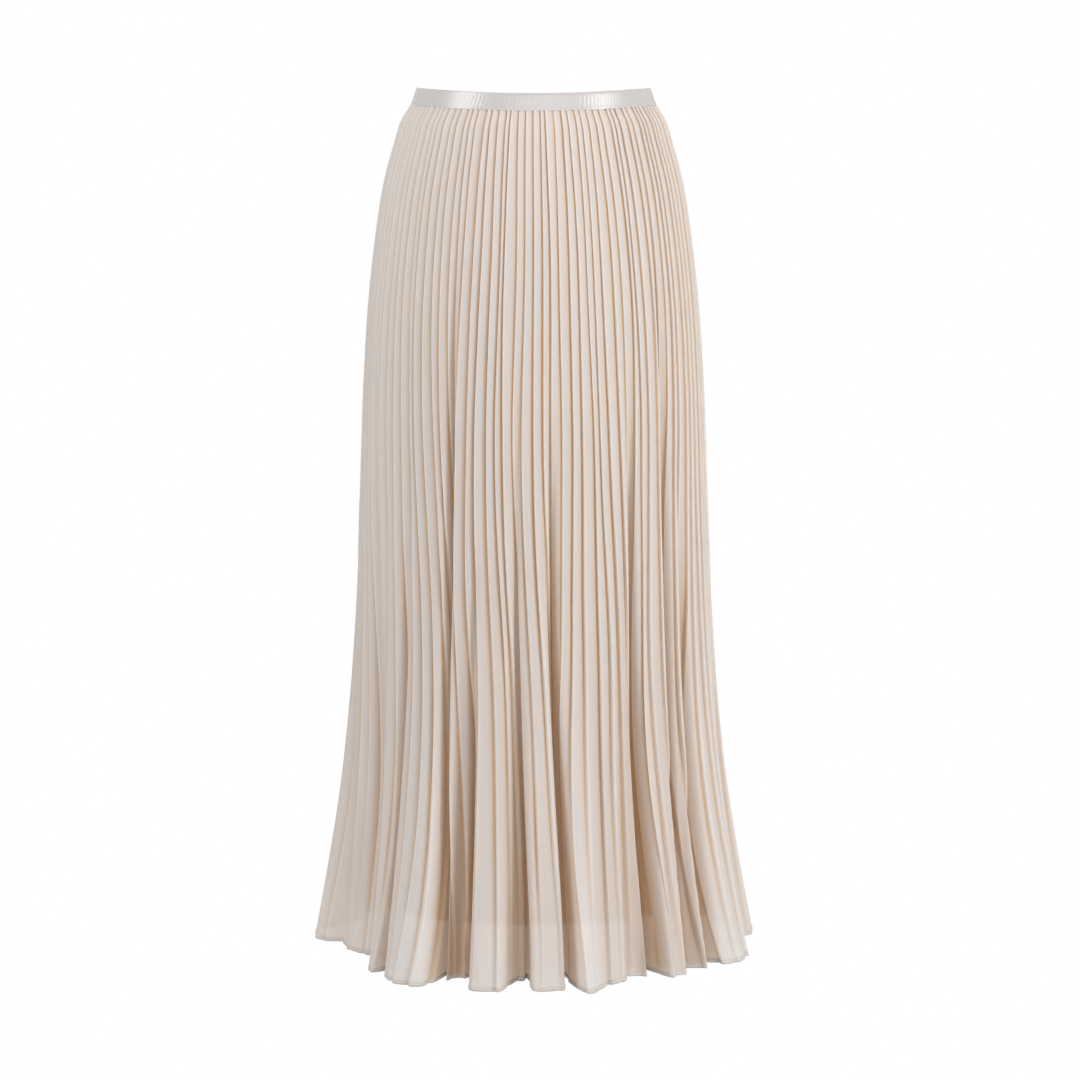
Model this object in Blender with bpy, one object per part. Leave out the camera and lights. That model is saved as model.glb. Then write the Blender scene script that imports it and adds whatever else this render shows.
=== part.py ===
"""Sunray-pleated maxi skirt, hanging hollow as it is worn.

Metres, +Z up. The origin is the middle of the waist, level with the top of the waistband at the
two sides, and the skirt hangs down -Z. Its front faces -Y, and angles run round the body from the
front centre (0 degrees) towards +X (90), the back centre (180) and -X (270).
"""
from collections import namedtuple

import bpy
import numpy as np

# ---------------------------------------------------------------- driving sizes
SKIRT_DROP = 0.942          # top of the waistband to the hem, measured straight down
BAND_HEIGHT = 0.019
BAND_WALL = 0.0020
CLOTH_WALL = 0.0012         # pleated cloth
LINING_WALL = 0.0010
SEAM_GAP = 0.0003           # between sewn pieces
FRONT_DIP = 0.006           # the waist line dips at the front centre ...
BACK_DIP = 0.008            # ... and a little more at the back centre
LINING_TOP_DROP = 0.011     # the lining's upper edge is caught behind the waistband
LINING_HEM_DROP = 0.895

PLEATS_PER_PANEL = 52
CREST_SHARE = 0.20          # a knife pleat rises in this share of its width, then falls slowly
TOP_PLEAT_CLOTH = 0.0112    # cloth folded into one pleat, just under the waistband
HEM_PLEAT_CLOTH = 0.0335    # and at the hem, because the sunray pleats widen downwards
DEPTH_FACTOR = 0.48         # a pleat's depth from its cloth and its width
PRESSED_DEPTH = 0.70        # the pleats are pressed flatter where they enter the waist seam
PRESSED_LENGTH = 0.030
FOLD_GROWTH = 1.6           # how a fold deepens from its start to the hem
FOLD_SIDE_PULL = 0.35       # folds open towards the front and the back more than to the sides
CURVE_STEPS = 800           # fine steps along one panel when its curve is measured ...
SEAM_OVERRUN = 14.0         # ... and this many degrees past both of its side seams
LEAN_SPAN = 1.6             # a pleat stands square to this many pleat widths of the folded cloth
BEND_LIMIT = 0.55           # and opens where the cloth bends harder than this share of its depth
LEAST_DEPTH = 0.19          # even a pleat pulled wide open keeps this share of its cloth as depth
SHARP_ANGLE = 25.0

# The pleats' edges wander a little: how far, as a share of a pleat, how fast, and from where.
Wander = namedtuple("Wander", "share rate phase")
WANDERS = (
    Wander(0.10, 2.4, 0.0),
    Wander(0.07, 5.1, 1.0),
)

# The skirt's crest outline over a general figure: straight drop, half width, half depth.
Station = namedtuple("Station", "drop half_width half_depth")
STATIONS = (
    Station(0.000, 0.1260, 0.0960),
    Station(0.018, 0.1325, 0.1005),
    Station(0.035, 0.1430, 0.1080),
    Station(0.057, 0.1500, 0.1130),
    Station(0.100, 0.1620, 0.1210),
    Station(0.154, 0.1710, 0.1300),
    Station(0.230, 0.1800, 0.1380),
    Station(0.317, 0.1860, 0.1440),
    Station(0.450, 0.1915, 0.1530),
    Station(0.584, 0.1985, 0.1660),
    Station(0.674, 0.2055, 0.1780),
    Station(0.764, 0.2155, 0.1955),
    Station(0.856, 0.2295, 0.2140),
    Station(0.942, 0.2445, 0.2330),
)

# The lining's outer face, from the waist seam to its hem.
LINING_STATIONS = (
    Station(0.011, 0.1274, 0.0962),
    Station(0.020, 0.1284, 0.0964),
    Station(0.040, 0.1345, 0.0985),
    Station(0.100, 0.1500, 0.1050),
    Station(0.200, 0.1630, 0.1120),
    Station(0.400, 0.1690, 0.1160),
    Station(0.650, 0.1750, 0.1200),
    Station(0.895, 0.1880, 0.1300),
)

# Large folds: angle round the body (degrees), the drop where each begins, its depth at the hem
# (negative bulges outwards), its half width (degrees), and how closely it crowds the pleats.
Fold = namedtuple("Fold", "angle start depth width crowd")
FOLDS = (
    Fold(-80.0, 0.45, 0.010, 6.0, 0.2),
    Fold(-64.0, 0.30, 0.034, 13.0, 0.0),
    Fold(-50.0, 0.15, 0.022, 6.0, 0.6),
    Fold(-34.0, 0.50, -0.014, 7.0, 0.0),
    Fold(-23.5, 0.06, 0.052, 6.4, 1.4),
    Fold(-4.0, 0.30, 0.022, 5.4, 0.5),
    Fold(10.0, 0.50, 0.024, 5.0, 0.2),
    Fold(29.0, 0.25, 0.036, 6.4, 0.5),
    Fold(48.5, 0.04, 0.038, 6.6, 1.0),
    Fold(64.0, 0.40, -0.012, 7.0, 0.0),
    Fold(76.0, 0.40, 0.018, 6.5, 0.2),
    Fold(101.0, 0.45, 0.018, 6.5, 0.2),
    Fold(119.0, 0.15, 0.036, 6.6, 0.9),
    Fold(137.0, 0.50, 0.020, 5.6, 0.2),
    Fold(156.0, 0.08, 0.044, 6.4, 1.2),
    Fold(172.0, 0.50, 0.020, 5.4, 0.2),
    Fold(185.0, 0.35, 0.024, 5.6, 0.4),
    Fold(203.0, 0.10, 0.042, 6.6, 1.0),
    Fold(229.0, 0.20, 0.036, 7.0, 0.8),
    Fold(247.0, 0.50, 0.020, 6.2, 0.2),
    Fold(262.0, 0.50, 0.010, 6.0, 0.0),
)
CROWD_RUN = 0.30            # drop over which a fold comes to crowd the pleats
CROWD_WIDTH = 0.6           # the crowded strip is this share of the fold's width
HEM_CROWD = 0.3             # share of the crowding that is left at the hem

# Heights at which the pleated walls and the lining are sectioned.
SKIRT_RINGS = (0.045, 0.085, 0.140, 0.215, 0.310, 0.410, 0.510, 0.610, 0.705, 0.790, 0.870)
LINING_RINGS = (0.0200, 0.045, 0.100, 0.200, 0.400, 0.650)
LINING_STEPS = 26           # straight steps round one lining panel
BAND_STEPS = 96

Panel = namedtuple("Panel", "name first_angle last_angle")
FRONT = Panel("front", -90.0, 90.0)
BACK = Panel("back", 90.0, 270.0)


# ---------------------------------------------------------------- shared shape functions
def smooth_curve(at, knots, values):
    """Cubic Hermite curve through the table's values, with slopes from their neighbours."""
    knots = np.asarray(knots)
    values = np.asarray(values)
    slopes = np.gradient(values, knots)
    at = np.clip(at, knots[0], knots[-1])
    low = np.clip(np.searchsorted(knots, at, side="right") - 1, 0, len(knots) - 2)
    run = knots[low + 1] - knots[low]
    t = (at - knots[low]) / run
    return ((1 + 2 * t) * (1 - t) ** 2 * values[low]
            + t * (1 - t) ** 2 * run * slopes[low]
            + t * t * (3 - 2 * t) * values[low + 1]
            + t * t * (t - 1) * run * slopes[low + 1])


def half_sizes(stations, drop):
    """Half width and half depth of a table of stations at one drop."""
    drops = [row.drop for row in stations]
    return (smooth_curve(drop, drops, [row.half_width for row in stations]),
            smooth_curve(drop, drops, [row.half_depth for row in stations]))


def height(angles, drop):
    """Z of a point: the waist's dip at the front and back dies away towards the hem."""
    facing = np.cos(angles)
    dip = np.where(facing > 0, FRONT_DIP, BACK_DIP) * facing ** 2
    return -drop - dip * (1 - drop / SKIRT_DROP)


def fold_reach(fold, drop, power):
    """How far one fold has grown at this drop, from 0 at its start to 1 at the hem."""
    return max(0.0, (drop - fold.start) / (SKIRT_DROP - fold.start)) ** power


def fold_profile(fold, angles, narrowing=1.0):
    """Bell-shaped weight of one fold round the body."""
    off = (np.degrees(angles) - fold.angle + 180.0) % 360.0 - 180.0
    return np.exp(-(off / (narrowing * fold.width)) ** 2)


def folded_curve(angles, drop, inset):
    """Middle line of the pleated cloth: an ellipse, pushed in and out by the large folds."""
    half_width, half_depth = half_sizes(STATIONS, drop)
    points = np.stack([(half_width - inset) * np.sin(angles),
                       -(half_depth - inset) * np.cos(angles)], axis=1)
    pull = np.stack([-FOLD_SIDE_PULL * np.sin(angles), np.cos(angles)], axis=1)
    pull /= np.linalg.norm(pull, axis=1)[:, None]
    push = sum(fold.depth * fold_reach(fold, drop, FOLD_GROWTH) * fold_profile(fold, angles)
               for fold in FOLDS)
    return points + pull * push[:, None]


def crowding(angles, drop):
    """Pleats per length round the body, 1 where they are evenly spread."""
    left = 1.0 - (1.0 - HEM_CROWD) * (drop / SKIRT_DROP) ** 2
    extra = np.zeros_like(angles)
    for fold in FOLDS:
        run = min(1.0, max(0.0, drop - fold.start) / CROWD_RUN)
        extra += fold.crowd * run * run * (3 - 2 * run) * fold_profile(fold, angles, CROWD_WIDTH)
    return 1.0 + left * extra


def pleat_stops():
    """Valley and crest of each pleat as shares of the panel, a little uneven from pleat to pleat."""
    count = np.arange(PLEATS_PER_PANEL + 1)
    valleys = count + sum(row.share * np.sin(row.rate * count + row.phase) for row in WANDERS)
    valleys[[0, -1]] = count[[0, -1]]
    crests = valleys[:-1] + CREST_SHARE * np.diff(valleys)
    stops = np.empty(2 * PLEATS_PER_PANEL + 1)
    stops[0::2] = valleys
    stops[1::2] = crests
    return stops / PLEATS_PER_PANEL


def pleat_line(panel, drop):
    """The zigzag middle line of one panel at one drop, with the angle of each of its points."""
    cloth = TOP_PLEAT_CLOTH + (HEM_PLEAT_CLOTH - TOP_PLEAT_CLOTH) * drop / SKIRT_DROP
    pressed = min(1.0, PRESSED_DEPTH + (1 - PRESSED_DEPTH) * (drop - BAND_HEIGHT) / PRESSED_LENGTH)
    seams = np.radians([panel.first_angle, panel.last_angle])
    beyond = np.radians(SEAM_OVERRUN)
    angles = np.linspace(seams[0] - beyond, seams[1] + beyond, CURVE_STEPS + 1)

    # First pass finds the mean depth, so that the crests lie on the outline.
    plain = np.linalg.norm(np.diff(folded_curve(angles, drop, 0.0), axis=0), axis=1)
    within = (angles[:-1] >= seams[0]) & (angles[:-1] < seams[1])
    mean_width = plain[within].sum() / PLEATS_PER_PANEL
    mean_depth = DEPTH_FACTOR * np.sqrt(cloth ** 2 - mean_width ** 2) * pressed
    curve = folded_curve(angles, drop, 0.5 * mean_depth)
    steps = np.linalg.norm(np.diff(curve, axis=0), axis=1)
    length = np.concatenate([[0.0], np.cumsum(steps)])
    weight = crowding(0.5 * (angles[:-1] + angles[1:]), drop)
    share = np.concatenate([[0.0], np.cumsum(steps * weight)])
    first, last = np.interp(seams, angles, share)
    share = (share - first) / (last - first)

    # Direction in which the pleats stand: square to the curve, averaged over a pleat or two.
    even = np.linspace(0.0, length[-1], CURVE_STEPS + 1)
    resampled = np.stack([np.interp(even, length, curve[:, axis]) for axis in (0, 1)], axis=1)
    slope = np.gradient(resampled, axis=0)
    heading = np.unwrap(np.arctan2(slope[:, 1], slope[:, 0]))
    reach = max(1, int(0.5 * LEAN_SPAN * CURVE_STEPS * mean_width / length[-1]))
    window = np.hanning(2 * reach + 3)[1:-1]
    heading = np.convolve(np.pad(heading, reach, mode="edge"), window / window.sum(), mode="valid")
    bend = np.abs(np.gradient(heading, even))

    # Where the pleats fall along the curve, kept just clear of the side seams.
    trim = 0.5 * CLOTH_WALL + 0.5 * SEAM_GAP
    ends = np.interp(seams, angles, length)
    at = np.clip(np.interp(pleat_stops(), share, length), ends[0] + trim, ends[1] - trim)
    where = np.stack([np.interp(at, even, resampled[:, axis]) for axis in (0, 1)], axis=1)
    faces = np.interp(at, even, heading)
    outward = np.stack([np.sin(faces), -np.cos(faces)], axis=1)

    # Each pleat's depth follows from its cloth and its width, and eases where the curve bends hard.
    widths = np.diff(at[0::2])
    width = np.interp(at, at[0:-1:2] + 0.5 * widths, widths)
    depth = DEPTH_FACTOR * np.sqrt(np.maximum(cloth ** 2 - width ** 2, 0.0))
    depth = np.maximum(depth, LEAST_DEPTH * cloth) * pressed
    strain = 0.5 * depth * np.interp(at, even, bend) / BEND_LIMIT
    offset = 0.5 * depth / (1 + strain ** 4) ** 0.25
    offset[0::2] *= -1
    return where + outward * offset[:, None], np.interp(at, length, angles)


def wall_sides(line, wall):
    """Outer and inner face of a wall round an open line, mitred at each of its points."""
    run = np.diff(line, axis=0)
    run /= np.linalg.norm(run, axis=1)[:, None]
    across = np.stack([run[:, 1], -run[:, 0]], axis=1)
    before = np.vstack([across[:1], across])
    after = np.vstack([across, across[-1:]])
    mitre = (before + after) / (1 + (before * after).sum(axis=1))[:, None]
    return line + 0.5 * wall * mitre, line - 0.5 * wall * mitre


def wall_object(name, rings, colour, roughness):
    """Closed wall from rings of (outer points, inner points, angles, drop), listed downwards."""
    outer = []
    inner = []
    for out_points, in_points, angles, drop in rings:
        level = height(angles, drop)
        outer.append(np.column_stack([out_points, level]))
        inner.append(np.column_stack([in_points, level]))
    rows = len(rings)
    columns = len(outer[0])
    vertices = np.vstack(outer + inner)
    half = rows * columns

    def at(side, row, column):
        return side * half + row * columns + column

    faces = []
    for row in range(rows - 1):
        for column in range(columns - 1):
            faces.append((at(0, row, column), at(0, row + 1, column),
                          at(0, row + 1, column + 1), at(0, row, column + 1)))
            faces.append((at(1, row, column), at(1, row, column + 1),
                          at(1, row + 1, column + 1), at(1, row + 1, column)))
        for column in (0, columns - 1):
            cap = (at(0, row, column), at(1, row, column),
                   at(1, row + 1, column), at(0, row + 1, column))
            faces.append(cap if column == 0 else cap[::-1])
    for row in (0, rows - 1):
        for column in range(columns - 1):
            rim = (at(0, row, column), at(0, row, column + 1),
                   at(1, row, column + 1), at(1, row, column))
            faces.append(rim if row == 0 else rim[::-1])
    return add_object(name, vertices, faces, colour, roughness)


def add_object(name, vertices, faces, colour, roughness):
    """A mesh object with its own cloth material."""
    mesh = bpy.data.meshes.new(name)
    mesh.from_pydata([tuple(vertex) for vertex in vertices], [], faces)
    mesh.validate()
    mesh.shade_smooth()
    mesh.set_sharp_from_angle(angle=np.radians(SHARP_ANGLE))
    material = bpy.data.materials.new(name)
    material.use_nodes = True
    shader = material.node_tree.nodes["Principled BSDF"]
    shader.inputs["Base Color"].default_value = (*colour, 1.0)
    shader.inputs["Roughness"].default_value = roughness
    shader.inputs["Metallic"].default_value = 0.0
    mesh.materials.append(material)
    made = bpy.data.objects.new(name, mesh)
    bpy.context.collection.objects.link(made)
    return made


# ---------------------------------------------------------------- the sewn pieces
def make_skirt_panel(panel):
    """One pleated panel, from just under the waistband to the hem."""
    rings = []
    for drop in (BAND_HEIGHT + SEAM_GAP, *SKIRT_RINGS, SKIRT_DROP):
        line, angles = pleat_line(panel, drop)
        outer, inner = wall_sides(line, CLOTH_WALL)
        rings.append((outer, inner, angles, drop))
    return wall_object("skirt_" + panel.name, rings, (0.72, 0.62, 0.54), 0.75)


def make_lining_panel(panel):
    """One plain A-line lining panel, inside the pleats."""
    rings = []
    for drop in (LINING_TOP_DROP, *LINING_RINGS, LINING_HEM_DROP):
        half_width, half_depth = half_sizes(LINING_STATIONS, drop)
        edge = np.degrees(0.5 * SEAM_GAP / half_depth)
        angles = np.linspace(panel.first_angle + edge, panel.last_angle - edge, LINING_STEPS + 1)
        angles = np.radians(angles)
        outer = np.stack([half_width * np.sin(angles), -half_depth * np.cos(angles)], axis=1)
        inner = np.stack([(half_width - LINING_WALL) * np.sin(angles),
                          -(half_depth - LINING_WALL) * np.cos(angles)], axis=1)
        rings.append((outer, inner, angles, drop))
    return wall_object("lining_" + panel.name, rings, (0.66, 0.60, 0.55), 0.6)


def make_waistband():
    """The elastic band: a closed ring whose section is a thin upright strip."""
    angles = np.linspace(0, 2 * np.pi, BAND_STEPS, endpoint=False)
    sections = ((0.0, 0.0), (0.5 * BAND_HEIGHT, 0.0), (BAND_HEIGHT, 0.0),
                (BAND_HEIGHT, BAND_WALL), (0.5 * BAND_HEIGHT, BAND_WALL), (0.0, BAND_WALL))
    loops = []
    for drop, inset in sections:
        half_width, half_depth = half_sizes(STATIONS, drop)
        loops.append(np.column_stack([(half_width - inset) * np.sin(angles),
                                      -(half_depth - inset) * np.cos(angles),
                                      height(angles, drop)]))
    faces = []
    for section in range(len(sections)):
        below = (section + 1) % len(sections)
        for step in range(BAND_STEPS):
            beside = (step + 1) % BAND_STEPS
            faces.append((section * BAND_STEPS + step, below * BAND_STEPS + step,
                          below * BAND_STEPS + beside, section * BAND_STEPS + beside))
    return add_object("waistband", np.vstack(loops), faces, (0.80, 0.77, 0.74), 0.35)


def build_skirt():
    for old in list(bpy.data.objects):
        bpy.data.objects.remove(old, do_unlink=True)
    make_waistband()
    for panel in (FRONT, BACK):
        make_skirt_panel(panel)
        make_lining_panel(panel)


build_skirt()
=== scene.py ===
# Pleated maxi skirt: the looks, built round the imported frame. Metres, +Z up, the front faces -Y.
import math

import bpy
import numpy as np
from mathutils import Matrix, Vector


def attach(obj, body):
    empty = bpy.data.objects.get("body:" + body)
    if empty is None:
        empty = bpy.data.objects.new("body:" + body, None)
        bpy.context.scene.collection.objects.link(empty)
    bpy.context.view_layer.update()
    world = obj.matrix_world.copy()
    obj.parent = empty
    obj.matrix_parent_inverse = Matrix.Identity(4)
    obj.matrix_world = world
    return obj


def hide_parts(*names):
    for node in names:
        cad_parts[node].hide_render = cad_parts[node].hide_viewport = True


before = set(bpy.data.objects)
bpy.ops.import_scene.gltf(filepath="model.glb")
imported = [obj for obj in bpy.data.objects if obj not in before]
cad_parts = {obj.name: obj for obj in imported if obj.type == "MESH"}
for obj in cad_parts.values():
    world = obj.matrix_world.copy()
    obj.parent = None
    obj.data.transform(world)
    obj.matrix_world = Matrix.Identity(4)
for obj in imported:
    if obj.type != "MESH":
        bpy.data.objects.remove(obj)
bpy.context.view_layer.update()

print("frame loaded:", sorted(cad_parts))

# the camera stands level with the waist and looks a little down
cameraPlace = dict(
    position=(0.007, -3.5, 0.0),
    lookDownDegrees=8.04,
    focalPixels=3206.0,      # focal length in pixels of the frame
    framePixels=1080.0,
    sensorWidth=36.0,
)


def makeCamera(place):
    # lens = sensor width * focal length in pixels / frame in pixels
    data = bpy.data.cameras.new("skirtCamera")
    data.sensor_width = place["sensorWidth"]
    data.lens = place["sensorWidth"] * place["focalPixels"] / place["framePixels"]
    camera = bpy.data.objects.new("skirtCamera", data)
    camera.location = place["position"]
    camera.rotation_euler = (math.radians(90 - place["lookDownDegrees"]), 0, 0)
    bpy.context.scene.collection.objects.link(camera)
    bpy.context.scene.camera = camera


makeCamera(cameraPlace)
print("camera made")

# the figure that the skirt hangs on: angles are 0 at the front, 90 degrees at +X and 180 at the back
figure = dict(
    drop=0.942,              # from the waist down to the hem
    frontDip=0.006,          # how far the waist dips at the middle of the front ...
    backDip=0.008,           # ... and of the back
    # straight drop, half width, half depth of the crests
    outline=np.array([
        (0.000, 0.1260, 0.0960),
        (0.018, 0.1325, 0.1005),
        (0.035, 0.1430, 0.1080),
        (0.057, 0.1500, 0.1130),
        (0.100, 0.1620, 0.1210),
        (0.154, 0.1710, 0.1300),
        (0.230, 0.1800, 0.1380),
        (0.317, 0.1860, 0.1440),
        (0.450, 0.1915, 0.1530),
        (0.584, 0.1985, 0.1660),
        (0.674, 0.2055, 0.1780),
        (0.764, 0.2155, 0.1955),
        (0.856, 0.2295, 0.2140),
        (0.942, 0.2445, 0.2250),
    ]),
)

folds = dict(
    growth=1.70,             # how a fold deepens from its start to the hem
    steepness=3.4,           # 2 is a bell, more has flatter flaps and steeper walls
    midDrop=0.55,            # below this the folds swing from their middle angle to their hem angle
    crowdShare=0.65,         # how much closer the pleats lie in a fold whose crowding is 1
    crowdRun=0.45,           # the drop below a fold's start over which its crowding grows
    crowdWidth=3.8,          # degrees round a fold in which the pleats crowd together ...
    crowdSteepness=2.0,
    crowdFade=5.0,           # ... until the hem, where they spread evenly: 1 - reach^fade
    # angle at mid height, angle at the hem, start drop, depth at the hem, half width, crowding
    table=np.array([
        (-84.0, -79.0, 0.45, 0.030, 6.0, 0.0),
        (-68.0, -66.0, 0.35, 0.034, 8.0, 0.2),
        (-60.0, -56.0, 0.35, 0.036, 6.5, 0.2),
        (-44.0, -43.2, 0.35, 0.024, 1.6, 0.4),
        (-36.0, -32.0, 0.50, -0.014, 6.0, 0.0),
        (-28.0, -25.7, 0.10, 0.070, 1.3, 1.2),
        (-22.0, -21.5, 0.50, 0.034, 2.5, 0.1),
        (-19.0, -18.3, 0.45, 0.048, 1.3, 0.5),
        (-5.5, -4.2, 0.45, 0.034, 2.9, 0.1),
        (-5.5, -1.7, 0.20, 0.024, 1.2, 0.6),
        (6.0, 9.8, 0.30, 0.078, 1.5, 0.9),
        (13.0, 13.0, 0.50, -0.016, 2.8, 0.0),
        (22.0, 22.0, 0.50, 0.012, 4.0, 0.0),
        (31.0, 30.6, 0.40, 0.034, 5.0, 0.2),
        (33.5, 36.0, 0.20, 0.056, 1.3, 1.1),
        (42.0, 42.0, 0.50, 0.008, 3.0, 0.0),
        (48.0, 46.6, 0.06, 0.042, 1.8, 0.7),
        (51.0, 48.2, 0.50, 0.024, 2.9, 0.1),
        (56.0, 54.2, 0.36, 0.058, 1.8, 0.6),
        (66.0, 64.0, 0.45, -0.010, 6.0, 0.0),
        (82.0, 83.0, 0.50, 0.022, 6.0, 0.1),
        (97.0, 97.0, 0.60, -0.003, 4.0, 0.0),
        (108.0, 109.0, 0.45, 0.026, 5.0, 0.1),
        (119.0, 118.0, 0.20, 0.052, 1.6, 0.9),
        (127.0, 126.0, 0.50, 0.034, 3.0, 0.2),
        (138.0, 139.5, 0.40, 0.050, 1.4, 0.6),
        (147.0, 147.5, 0.50, -0.012, 5.0, 0.0),
        (157.0, 156.0, 0.12, 0.066, 1.4, 1.1),
        (165.0, 163.0, 0.50, 0.034, 3.0, 0.2),
        (176.0, 178.0, 0.40, 0.056, 1.3, 0.6),
        (188.0, 187.0, 0.40, 0.034, 3.4, 0.3),
        (195.0, 195.5, 0.55, -0.012, 4.0, 0.0),
        (203.0, 204.5, 0.15, 0.068, 1.4, 1.1),
        (214.0, 213.0, 0.50, 0.034, 3.0, 0.2),
        (228.0, 227.0, 0.25, 0.054, 1.5, 0.9),
        (238.0, 237.0, 0.50, 0.030, 3.0, 0.2),
        (251.0, 249.0, 0.40, 0.034, 6.0, 0.1),
        (258.0, 258.0, 0.50, 0.014, 3.0, 0.0),
    ]),
)

panelAngles = dict(Front=(-90.0, 90.0), Back=(90.0, 270.0))


def smoothStep(t):
    # 3 t^2 - 2 t^3, level at 0 and at 1
    return t * t * (3 - 2 * t)


def smoothCurve(at, knots, values):
    # cubic Hermite through the knots: slopes are central differences of the table
    slopes = np.gradient(values, knots)
    at = np.clip(at, knots[0], knots[-1])
    low = np.clip(np.searchsorted(knots, at, side="right") - 1, 0, len(knots) - 2)
    run = knots[low + 1] - knots[low]
    t = (at - knots[low]) / run
    return ((1 + 2 * t) * (1 - t) ** 2 * values[low] + t * (1 - t) ** 2 * run * slopes[low]
            + smoothStep(t) * values[low + 1] + t * t * (t - 1) * run * slopes[low + 1])


def halfSizes(table, drop):
    # half width and half depth at a drop, from rows of drop, half width and half depth
    return smoothCurve(drop, table[:, 0], table[:, 1]), smoothCurve(drop, table[:, 0], table[:, 2])


def levelOf(angles, drop):
    # z = -drop - dip * cos(angle)^2, and the dip dies away towards the hem
    facing = np.cos(angles)
    dip = np.where(facing > 0, figure["frontDip"], figure["backDip"]) * facing ** 2
    return -drop - dip * (1 - drop / figure["drop"])


def bellWeights(angles, drop, widths, steepness):
    # one row per fold: exp(-(degrees off / width)^steepness), round the fold's place at this drop
    table = folds["table"]
    swing = smoothStep(np.clip((drop - folds["midDrop"]) / (figure["drop"] - folds["midDrop"]), 0.0, 1.0))
    places = table[:, :1] + (table[:, 1:2] - table[:, :1]) * swing
    off = (np.degrees(angles)[None, :] - places + 180.0) % 360.0 - 180.0
    return np.exp(-np.abs(off / widths) ** steepness)


def foldPush(angles, drop, share=1.0):
    # sum over the folds of share * depth * reach^growth * bell
    start = folds["table"][:, 2]
    reach = np.maximum(0.0, (drop - start) / (figure["drop"] - start)) ** folds["growth"]
    return (share * folds["table"][:, 3] * reach) @ bellWeights(
        angles, drop, folds["table"][:, 4:5], folds["steepness"])


def foldedCurve(angles, drop, inset):
    # ellipse (a sin, -b cos), pushed towards the axis by the folds
    halfWidth, halfDepth = halfSizes(figure["outline"], drop)
    points = np.stack([(halfWidth - inset) * np.sin(angles), -(halfDepth - inset) * np.cos(angles)], axis=1)
    pull = np.stack([-np.sin(angles), np.cos(angles)], axis=1)
    return points + pull * foldPush(angles, drop)[:, None]


def plainSteps(angles, drop):
    # distances from angle to angle along the ellipse without its folds
    halfWidth, halfDepth = halfSizes(figure["outline"], drop)
    ellipse = np.stack([halfWidth * np.sin(angles), -halfDepth * np.cos(angles)], axis=1)
    return np.linalg.norm(np.diff(ellipse, axis=0), axis=1)


def crowding(angles, drop):
    # pleats for each stretch of cloth: 1 + (1 - reach^fade) * sum of the folds' crowding * bell
    left = 1.0 - (drop / figure["drop"]) ** folds["crowdFade"]
    run = np.clip((drop - folds["table"][:, 2]) / folds["crowdRun"], 0.0, 1.0)
    share = folds["crowdShare"] * folds["table"][:, 5] * smoothStep(run)
    return 1.0 + left * share @ bellWeights(angles, drop, folds["crowdWidth"], folds["crowdSteepness"])


def gridFaces(rows, columns, closedRows=False, closedColumns=False):
    # quads of a grid whose vertex (row, column) has the index row * columns + column
    r = np.arange(rows if closedRows else rows - 1)
    c = np.arange(columns if closedColumns else columns - 1)
    r, c = np.meshgrid(r, c, indexing="ij")
    below, beside = (r + 1) % rows, (c + 1) % columns
    corners = (r * columns + c, below * columns + c, below * columns + beside, r * columns + beside)
    return np.stack(corners, axis=-1).reshape(-1, 4)


def meshObject(name, points, faces, material, uv=None, masks=None):
    # points (n, 3), faces (m, 4), uv (n, 2) in metres of cloth, masks {name: n values}
    mesh = bpy.data.meshes.new(name)
    points = np.asarray(points, np.float32).reshape(-1, 3)
    faces = np.asarray(faces, np.int32)
    mesh.vertices.add(len(points))
    mesh.vertices.foreach_set("co", points.ravel())
    mesh.loops.add(faces.size)
    mesh.loops.foreach_set("vertex_index", faces.ravel())
    mesh.polygons.add(len(faces))
    mesh.polygons.foreach_set("loop_start", np.arange(len(faces), dtype=np.int32) * faces.shape[1])
    mesh.polygons.foreach_set("use_smooth", np.full(len(faces), True))
    mesh.update(calc_edges=True)
    mesh.validate()
    if uv is not None:
        layer = mesh.uv_layers.new(name="clothMetres")
        layer.data.foreach_set("uv", np.asarray(uv, np.float32)[faces.ravel()].ravel())
    for mask, values in (masks or {}).items():
        attribute = mesh.attributes.new(mask, "FLOAT", "POINT")
        attribute.data.foreach_set("value", np.asarray(values, np.float32).ravel())
    mesh.materials.append(material)
    made = bpy.data.objects.new(name, mesh)
    bpy.context.scene.collection.objects.link(made)
    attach(made, "root")
    return made


def addNode(tree, kind, **values):
    # a value goes to the node's field of that name, or else to its socket
    node = tree.nodes.new(kind)
    for key, value in values.items():
        if hasattr(node, key):
            setattr(node, key, value)
        else:
            node.inputs[key.replace("_", " ")].default_value = value
    return node


def newMaterial(name, roughness, **constants):
    # a material with one Principled shader; each constant goes to the socket of its name
    material = bpy.data.materials.new(name)
    material.use_nodes = True
    tree = material.node_tree
    shader = tree.nodes["Principled BSDF"]
    shader.inputs["Roughness"].default_value = roughness
    for socket, value in constants.items():
        shader.inputs[socket.replace("_", " ")].default_value = value
    return material, tree, shader


def feed(tree, socket, value):
    # a number or a colour is set on the socket, and another node's output is linked to it
    if isinstance(value, tuple):
        socket.default_value = (*value, 1) if len(socket.default_value) == 4 else value
    elif isinstance(value, (int, float)):
        socket.default_value = value
    else:
        tree.links.new(value, socket)


def mathNode(tree, operation, *values):
    # the operation on its values, in their order
    node = addNode(tree, "ShaderNodeMath", operation=operation)
    for slot, value in enumerate(values):
        feed(tree, node.inputs[slot], value)
    return node.outputs[0]


def noiseNode(tree, vector, scale, detail):
    # smooth noise about 0.5, with so many clouds to one unit of the vector
    node = addNode(tree, "ShaderNodeTexNoise", Scale=scale, Detail=detail)
    tree.links.new(vector, node.inputs["Vector"])
    return node.outputs["Fac"]


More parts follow.
